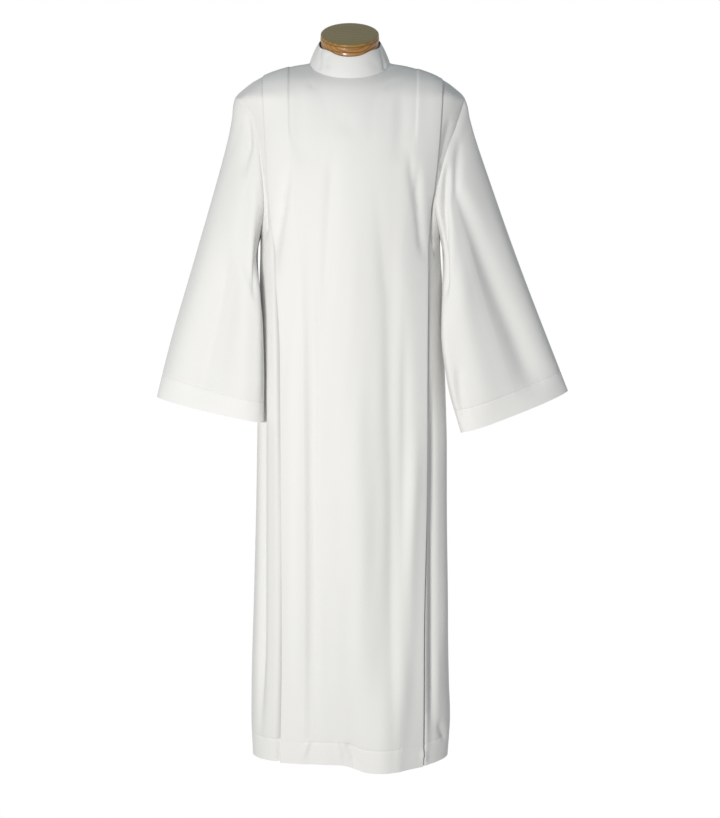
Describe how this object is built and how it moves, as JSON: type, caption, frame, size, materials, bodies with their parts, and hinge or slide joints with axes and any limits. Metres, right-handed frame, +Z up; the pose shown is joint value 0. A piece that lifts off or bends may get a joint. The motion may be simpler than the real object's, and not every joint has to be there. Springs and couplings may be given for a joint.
{
  "type": "bishop cassock on a dress form",
  "caption": "Plain white alb-type cassock with stand-up collar, wide sleeves and stitched-down pleats, on a limbless dress form with a wooden neck cap.",
  "frame": {"origin": "on the floor, on the underside of the form's base, under the middle of the pole", "axes": "+Z up along the pole, the front of the garment faces -Y, +X is the viewer's right seen from the front"},
  "size_m": [0.8691, 0.2606, 1.5658],
  "materials": {
    "white_cloth": "matt polyester and cotton weave",
    "collar_cloth": "the same cloth, stiffened",
    "white_button": "satin",
    "form_cloth": "matt linen cover",
    "varnished_wood": "clear varnish",
    "steel": "satin"
  },
  "bodies": {
    "root": {"front": "white_cloth", "back_left": "white_cloth", "back_right": "white_cloth", "sleeve_left": "white_cloth", "sleeve_right": "white_cloth", "collar": "collar_cloth", "collar_button": "white_button", "form_torso": "form_cloth", "form_neck_cap": "varnished_wood", "form_pole": "steel", "form_base": "steel"}
  },
  "joints": []
}
